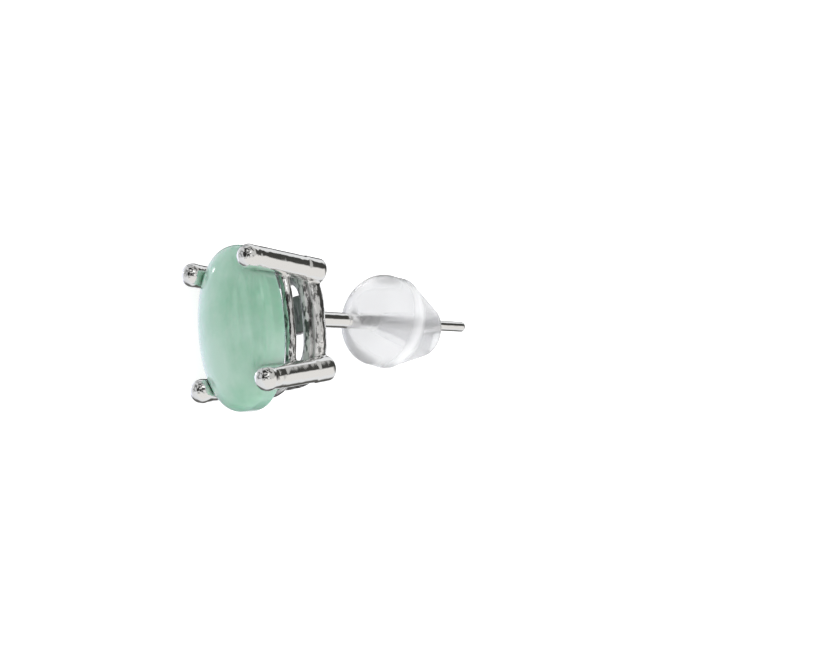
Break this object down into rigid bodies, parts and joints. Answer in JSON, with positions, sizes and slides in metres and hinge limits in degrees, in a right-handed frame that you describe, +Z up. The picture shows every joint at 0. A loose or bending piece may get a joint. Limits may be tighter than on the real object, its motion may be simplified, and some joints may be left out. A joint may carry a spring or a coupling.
{
  "type": "stud earring",
  "caption": "Stud earring with an oval cabochon held by round prongs, a straight post for a pierced ear and a soft push-on ear nut.",
  "frame": {"origin": "on the surface that the earring lies on, under the middle of its box", "axes": "+Y runs back along the post, +Z is up from the surface, and X runs along the stone's long side"},
  "size_m": [0.006, 0.013, 0.0044],
  "materials": {
    "polished_silver": "polished",
    "cloudy_green_stone": "gloss",
    "clear_silicone": "satin"
  },
  "bodies": {
    "stud": {"setting": "polished_silver", "stone": "cloudy_green_stone"},
    "nut": {"ear_nut": "clear_silicone"}
  },
  "joints": [
    {"name": "nut_slide", "type": "slide", "parent": "stud", "child": "nut", "axis": [0.014, 0.9998, -0.0119], "range_m": [-0.003, 0.0062]}
  ]
}
